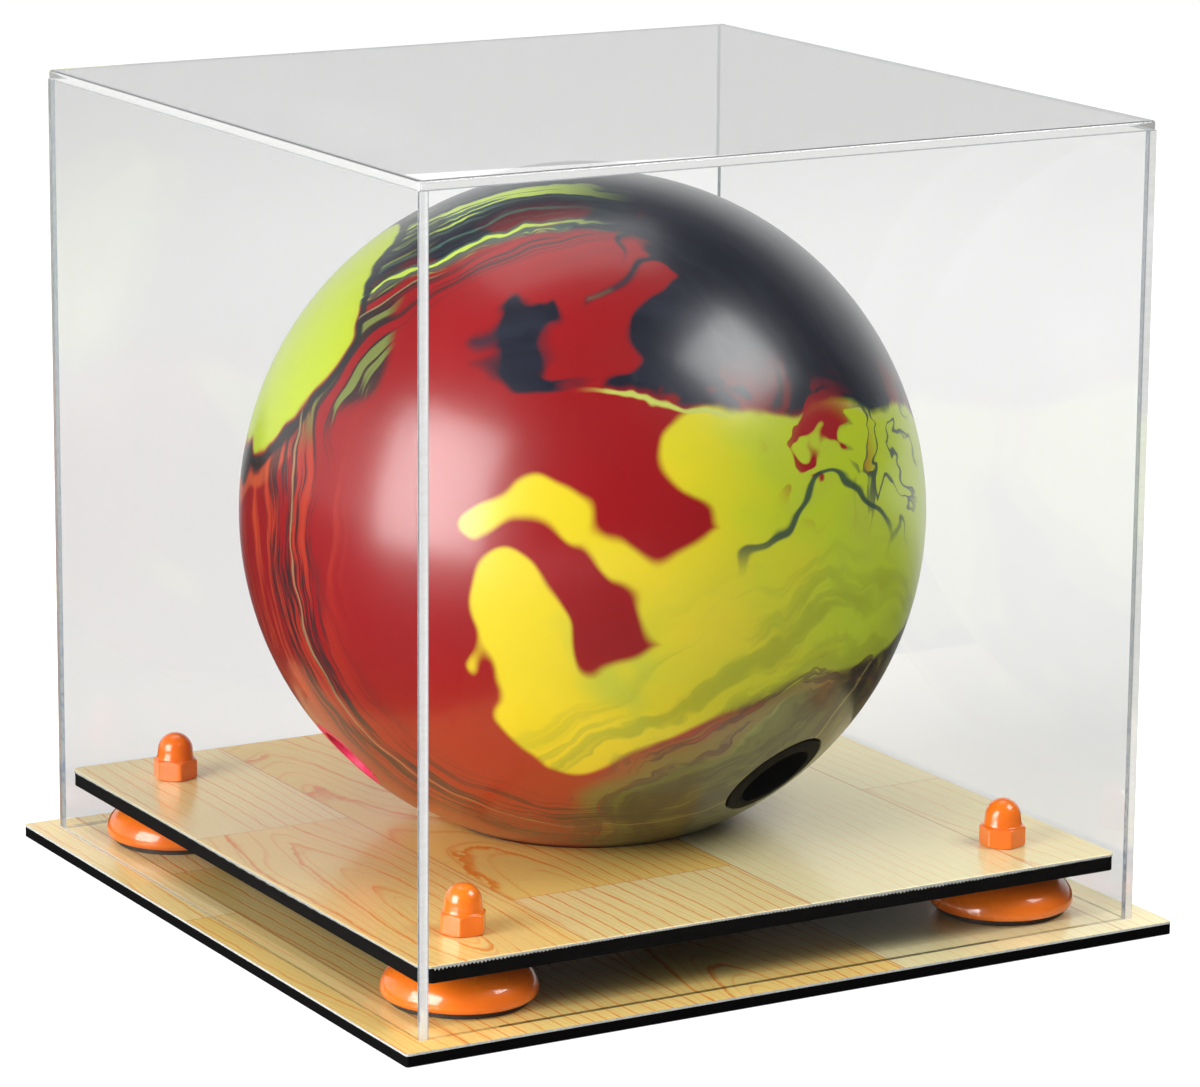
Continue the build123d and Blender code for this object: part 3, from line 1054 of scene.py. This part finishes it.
    # Threads lie along circles: round the red disc at the left, and along the low edge
    ring_aim, ring_side = (-0.409, -0.903, 0.134), (-0.1, 0.2, 0.97)
    ring = lean(folded, ring_aim) - 0.49
    combed = strands(folded, ring_aim, ring_side, 34.0, 1.1, 0.0)
    streaks = strands(frayed, disc_aim, (-0.1, 0.5, 0.86), 20.0, 2.2, 8.0)
    lower = strands(frayed, low_aim, (0.95, 0.25, 0.0), 26.0, 1.6, 4.0)
    clouds = g.noise(folded, 2.6, 2.0, 0.5)

    # Each field's own tones, and a painted reflection of the shelf low on the red
    # Painted reflection: towards the bottom the red is painted orange-brown, standing for the wooden shelf
    # mirrored in the ball's underside
    down = (0.0 - height).smooth(0.1, 0.8)
    red_tone = g.mix(clouds.smooth(0.40, 0.65) * 0.5, tuple(settings.red), linear(134, 16, 20))
    red_tone = g.mix(down * 0.8, red_tone, linear(158, 46, 20))
    embers = left.smooth(0.55, 0.95) * combed.smooth(0.45, 0.7)
    red_tone = g.mix(embers * 0.6, red_tone, linear(206, 80, 40))
    cool = (lean(folded, to_right) + (clouds - 0.5) * 1.2).smooth(-0.05, 0.85)
    light_tone = g.mix(cool, tuple(settings.yellow), tuple(settings.lime))
    near_low = (low + 0.34).smooth(0.0, 0.26)
    light_tone = g.mix(near_low * lower.smooth(0.42, 0.60) * 0.65, light_tone, linear(140, 150, 34))
    light_tone = g.mix(clouds.smooth(0.56, 0.70) * 0.5, light_tone, linear(168, 178, 60))
    navy_tone = g.mix(streaks.smooth(0.40, 0.70) * 0.5, tuple(settings.navy), linear(44, 48, 62))
    navy_tone = g.mix(by_edge, navy_tone, linear(112, 22, 24))
    olive_tone = g.mix(lower.smooth(0.36, 0.60), linear(52, 48, 28), tuple(settings.olive))
    olive_tone = g.mix(lower.smooth(0.58, 0.70), olive_tone, linear(124, 130, 54))
    right_low = right.smooth(0.40, 0.60) * (0.1 - height).smooth(0.0, 0.15)
    red_tone = g.mix(right_low, red_tone, olive_tone)
    verge = (low + 0.07).smooth(0.0, 0.06) * lower.smooth(0.42, 0.54)
    red_tone = g.mix(verge, red_tone, linear(116, 100, 44))

    skin = g.mix((light / 0.016).smooth(-0.6, 1.0), red_tone, light_tone)
    skin = g.mix((low / 0.008).smooth(-0.8, 1.0), skin, olive_tone)
    skin = g.mix((dark / 0.020).smooth(-0.7, 1.0), skin, navy_tone)

    # The strip between the dark cap, the lime field and the red disc is combed into green and lime streaks
    strip = dark.smooth(0.0, 0.02) * (disc + 0.36).smooth(0.0, 0.12) * (0.02 - notch).smooth(0.0, 0.05)
    strip = strip * left.smooth(-0.15, 0.25)
    skin = g.mix(strip * streaks.smooth(0.48, 0.56) * 0.8, skin, linear(66, 96, 84))
    skin = g.mix(strip * streaks.smooth(0.57, 0.61), skin, linear(176, 196, 74))
    skin = g.mix((lime / 0.006).smooth(-0.6, 1.0), skin, tuple(settings.lime))

    # Round the lime field: a glow low down, hairs high up and a dark rim
    glow = (lime + 0.034).near(0.004, 0.018) * (0.42 - height).smooth(0.0, 0.22)
    skin = g.mix(glow * 0.7, skin, linear(190, 84, 44))
    beyond = (lime + 0.045).near(0.02, 0.05) * (height - 0.25).smooth(0.0, 0.2)
    skin = g.mix(beyond * combed.smooth(0.44, 0.53) * 0.9, skin, linear(34, 36, 38))
    skin = g.mix(beyond * combed.smooth(0.55, 0.60) * 0.8, skin, linear(120, 132, 66))
    skin = g.mix((lime + 0.013).near(0.005, 0.014) * 0.95, skin, linear(24, 32, 32))

    # Dark hairs and one pale one along the ring, in the red only
    outside = (0.0 - dark).smooth(0.0, 0.02) * (0.0 - light).smooth(0.0, 0.02)
    outside = outside * (0.0 - lime).smooth(0.0, 0.01)
    hairs = (ring + 0.02).near(0.06, 0.20) * outside * (combed - 0.50).near(0.015, 0.060)
    skin = g.mix(hairs * 0.9, skin, linear(38, 34, 36))
    pale_hair = (ring + (combed - 0.5) * 0.04).near(0.002, 0.006)
    skin = g.mix(pale_hair * outside * 0.7, skin, linear(150, 132, 92))

    # Lines along the lower edge of the dark cap and above the olive field, loops and curls in the lime
    # and an arc over its middle
    cap_edge = (cap - 0.302).near(0.003, 0.012) * right.smooth(-0.22, -0.12)
    ahead = (0.0 - back).smooth(0.3, 0.6)
    skin = g.mix(cap_edge * ahead * (0.5 - clouds).smooth(-0.12, 0.02), skin, linear(176, 184, 84))
    low_edge = (low + 0.02).near(0.01, 0.05) * (lower - 0.5).near(0.01, 0.05)
    skin = g.mix(low_edge * 0.8, skin, linear(70, 44, 40))
    loops = g.noise(curled, 4.6, 2.0, 0.6) - 0.5
    skin = g.mix(close_to(loops_aim, 0.14, 0.30) * loops.near(0.008, 0.024) * 0.9, skin, linear(28, 52, 62))
    skin = g.mix(close_to(curls_aim, 0.10, 0.26) * loops.smooth(-0.005, 0.025), skin, linear(150, 22, 26))
    arc = (lean(folded, arc_aim) - 0.972).near(0.002, 0.006) * height.smooth(0.0, 0.12)
    skin = g.mix(arc * 0.9, skin, linear(30, 60, 60))

    haze = g.noise(unit, 7.0, 3.0, 0.55)
    smear = g.noise(g.point(scale=(60, 14, 30), turn=(0.4, 0.7, 0.3)), 1.0, 3.0, 0.6)
    shader = g.principled(
        Base_Color=skin,
        Roughness=0.25 + haze * 0.08 + smear * 0.05,
        Specular_IOR_Level=0.45,
        Coat_Weight=0.6,
        Coat_Roughness=0.2,
    )
    g.finish(shader)
    return g.material


def lining_material(name, base, second, rough, shine):
    """What lines a hole: two mottled tones, with a fine grain. Shine is the specular level."""
    g = Graph(name)
    place = g.place()
    mottled = g.noise(place, 240.0, 3.0, 0.6)
    grain = g.noise(place, 900.0, 2.0, 0.6)
    skin = g.mix(mottled.smooth(0.35, 0.75), base, second)
    shader = g.principled(
        Base_Color=skin,
        Roughness=rough + grain * 0.1,
        Normal=g.bump(grain + mottled * 0.5, 0.12, 0.06 * MM),
        Specular_IOR_Level=shine,
    )
    g.finish(shader)
    return g.material


class CASE_OT_ball(bpy.types.Operator):
    """Build the marbled ball and dress what lines its holes"""

    bl_idname = "case.ball"
    bl_label = "Ball"

    def execute(self, context):
        settings = context.scene.case_ball
        marble = marble_material(settings)
        ball = ball_surface("marbled_ball")
        dress(ball, marble)
        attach(ball, "ball")
        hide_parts("ball")
        dress(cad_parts["ball"], marble)
        slug = lining_material("black_slug", tuple(settings.slug), linear(16, 15, 14), 0.65, 0.1)
        insert = lining_material("pink_insert", tuple(settings.insert), linear(200, 24, 70), 0.45, 0.5)
        dress(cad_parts["thumb_slug"], slug)
        for place in ("front", "back"):
            dress(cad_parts[f"finger_insert_{place}"], insert)
        return {"FINISHED"}


# Stage

# The camera's place in metres, its angles in radians and its lens in millimetres
CAMERA_PLACE = (-0.80599, -1.40363, 0.48959)
CAMERA_AZIMUTH = 0.5244
CAMERA_DIP = 0.2287
CAMERA_ROLL = 0.00796
CAMERA_LENS = 156.473
LAMP_AIM = (0.0, 0.0, 0.12)
FLOOR_HALF = 6.0
FLOOR_DROP = 0.2 * MM


def camera_axes():
    """The camera's right, up and backward directions, from its azimuth, dip and roll. Azimuth runs from
    the back towards the right."""
    azimuth, dip, roll = CAMERA_AZIMUTH, CAMERA_DIP, CAMERA_ROLL
    ahead = np.array(
        [math.sin(azimuth) * math.cos(dip), math.cos(azimuth) * math.cos(dip), -math.sin(dip)]
    )
    level = np.cross(ahead, [0, 0, 1])
    level /= np.linalg.norm(level)
    above = np.cross(level, ahead)
    right = level * math.cos(roll) + above * math.sin(roll)
    up = above * math.cos(roll) - level * math.sin(roll)
    return right, up, -ahead


def add_camera():
    data = bpy.data.cameras.new("camera")
    data.sensor_width = 36.0
    data.lens = CAMERA_LENS
    data.clip_start = 0.05
    data.clip_end = 50.0
    camera = bpy.data.objects.new("camera", data)
    bpy.context.scene.collection.objects.link(camera)
    turn = Matrix(np.stack(camera_axes(), -1).tolist()).to_4x4()
    camera.matrix_world = Matrix.Translation(CAMERA_PLACE) @ turn
    bpy.context.scene.camera = camera


def add_lamp(name, azimuth, elevation, distance, size, power):
    """A soft rectangular lamp that faces the ball. Azimuth runs from the front towards the right, in
    degrees as elevation is. Distance and size are in metres and power is in watts."""
    data = bpy.data.lights.new(name, "AREA")
    data.shape = "RECTANGLE"
    data.size, data.size_y = size
    data.energy = power
    lamp = bpy.data.objects.new(name, data)
    bpy.context.scene.collection.objects.link(lamp)
    back = direction(azimuth - 90.0, elevation)
    place = back * distance + LAMP_AIM
    level = np.cross([0, 0, 1], back)
    level /= np.linalg.norm(level)
    axes = np.stack([level, np.cross(back, level), back], -1)
    lamp.matrix_world = Matrix.Translation(place.tolist()) @ Matrix(axes.tolist()).to_4x4()
    lamp.visible_camera = False


def floor_material():
    """A pale floor. To the camera it is white, apart from the object's shadow, and through clear panels
    it is nearly so, less close to the object, which is painted shade. In gloss it shows a painted
    reflection: white behind the object on the right, pale beside it at the front left as a painted pool
    of the left lamp's light, and dark elsewhere."""
    g = Graph("floor")
    x, y = g.split(g.place())[:2]

    def glow(level):
        return g.add("ShaderNodeEmission", None, {"Color": (level, level, level, 1), "Strength": 1.0})

    plain = g.add("ShaderNodeBsdfDiffuse", None, {"Color": (0.715, 0.715, 0.715, 1)})
    bright = g.add("ShaderNodeAddShader", None, {0: plain, 1: glow(0.5)})
    path = g.add("ShaderNodeLightPath", out="Is Camera Ray")
    # Painted shade: seen through the panels, the floor's glow is weaker the closer it lies to the object
    away = (x * x + y * y).root().smooth(0.2, 1.3)
    seen = path.most(path.take("Is Transmission Ray") * (0.30 + away * 0.62))
    # Painted reflection: in gloss the floor glows white behind the object on the right, pale beside it at
    # the front left as a painted pool of the left lamp's light, and nearly black elsewhere
    behind = (y + x * 0.2).smooth(0.05, 0.4) * x.smooth(-0.05, 0.1)
    beside = (0.0 - x).smooth(0.30, 0.60) * (0.0 - y).smooth(-0.10, 0.10)
    mirrored = g.blend(behind.most(beside * 0.7), glow(0.03), glow(0.88))
    g.finish(g.blend(seen_in_gloss(g), g.blend(seen, plain, bright), mirrored))
    return g.material


def seen_directly(g):
    """1 for what the camera sees, also through a clear panel, and 0 for reflections and falling light."""
    path = g.add("ShaderNodeLightPath", out="Is Camera Ray")
    return path.most(path.take("Is Transmission Ray"))


def seen_in_gloss(g):
    """1 for what a surface mirrors."""
    path = g.add("ShaderNodeLightPath", out="Is Glossy Ray")
    return path * (1.0 - path.take("Is Transmission Ray"))


class WorldGraph(Graph):
    """The node tree of the surroundings."""

    def __init__(self, world):
        world.use_nodes = True
        self.tree = world.node_tree
        self.tree.nodes.clear()


def build_world():
    """Surroundings that are white to the camera, light the object softly, most from behind and above,
    and are mirrored pale at the back and darker higher up."""
    world = bpy.data.worlds.new("studio")
    bpy.context.scene.world = world
    g = WorldGraph(world)
    aim = g.add("ShaderNodeTexCoord", out="Generated")
    x, y, z = g.split(aim)
    back = (y - x * 0.2).smooth(-0.25, 0.5)
    above = z.smooth(0.05, 0.7)
    fill = 0.13 + back * 0.33 + above * 0.42
    mirrored = back * (0.92 - z.smooth(0.03, 0.17) * 0.06 - z.smooth(0.3, 0.6) * 0.75)
    seen = seen_directly(g)
    strength = fill + seen * (1.0 - fill) + seen_in_gloss(g) * (mirrored - fill)
    light = g.add("ShaderNodeBackground", None, {"Color": (1, 1, 1, 1), "Strength": strength})
    g.add("ShaderNodeOutputWorld", None, {"Surface": light})


class CASE_OT_stage(bpy.types.Operator):
    """Set up the floor, the lamps, the surroundings and the camera"""

    bl_idname = "case.stage"
    bl_label = "Stage"

    def execute(self, context):
        settings = context.scene.case_stage
        corners = np.array([[-1, -1], [1, -1], [1, 1], [-1, 1]]) * FLOOR_HALF
        points = np.column_stack([corners, np.full(4, -FLOOR_DROP)])
        floor = add_mesh("floor", points, [np.array([[0, 1, 2, 3]])])
        dress(floor, floor_material())
        add_lamp("left_lamp", -81, 15, 1.5, (1.0, 1.1), settings.left_power)
        add_lamp("right_lamp", 47, 47, 1.6, (0.8, 0.65), settings.right_power)
        add_lamp("top_lamp", 165, 70, 1.6, (1.2, 0.8), settings.top_power)
        build_world()
        add_camera()
        context.scene.view_settings.view_transform = "Standard"
        return {"FINISHED"}


class CASE_PT_sidebar(bpy.types.Panel):
    """Lists the steps that dress the display case"""

    bl_idname = "CASE_PT_sidebar"
    bl_label = "Display case"
    bl_space_type = "VIEW_3D"
    bl_region_type = "UI"
    bl_category = "Display Case"

    def draw(self, context):
        for name, step in STEPS.items():
            self.layout.operator(step.bl_idname)
            settings = getattr(context.scene, f"case_{name}", None)
            if settings is not None:
                for field in settings.bl_rna.properties.keys():
                    if field not in ("rna_type", "name"):
                        self.layout.prop(settings, field)


SETTINGS = {
    "case_boards": BoardSettings,
    "case_fixings": FixingSettings,
    "case_cover": CoverSettings,
    "case_ball": BallSettings,
    "case_stage": StageSettings,
}
STEPS = {
    "boards": CASE_OT_boards,
    "fixings": CASE_OT_fixings,
    "cover": CASE_OT_cover,
    "ball": CASE_OT_ball,
    "stage": CASE_OT_stage,
}


def register():
    for group in (*SETTINGS.values(), *STEPS.values(), CASE_PT_sidebar):
        bpy.utils.register_class(group)
    for name, group in SETTINGS.items():
        setattr(bpy.types.Scene, name, PointerProperty(type=group))


def unregister():
    for name in SETTINGS:
        delattr(bpy.types.Scene, name)
    for group in (CASE_PT_sidebar, *STEPS.values(), *SETTINGS.values()):
        bpy.utils.unregister_class(group)


def main():
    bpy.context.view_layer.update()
    register()
    for name in STEPS:
        getattr(bpy.ops.case, name)()


if __name__ == "__main__":
    main()
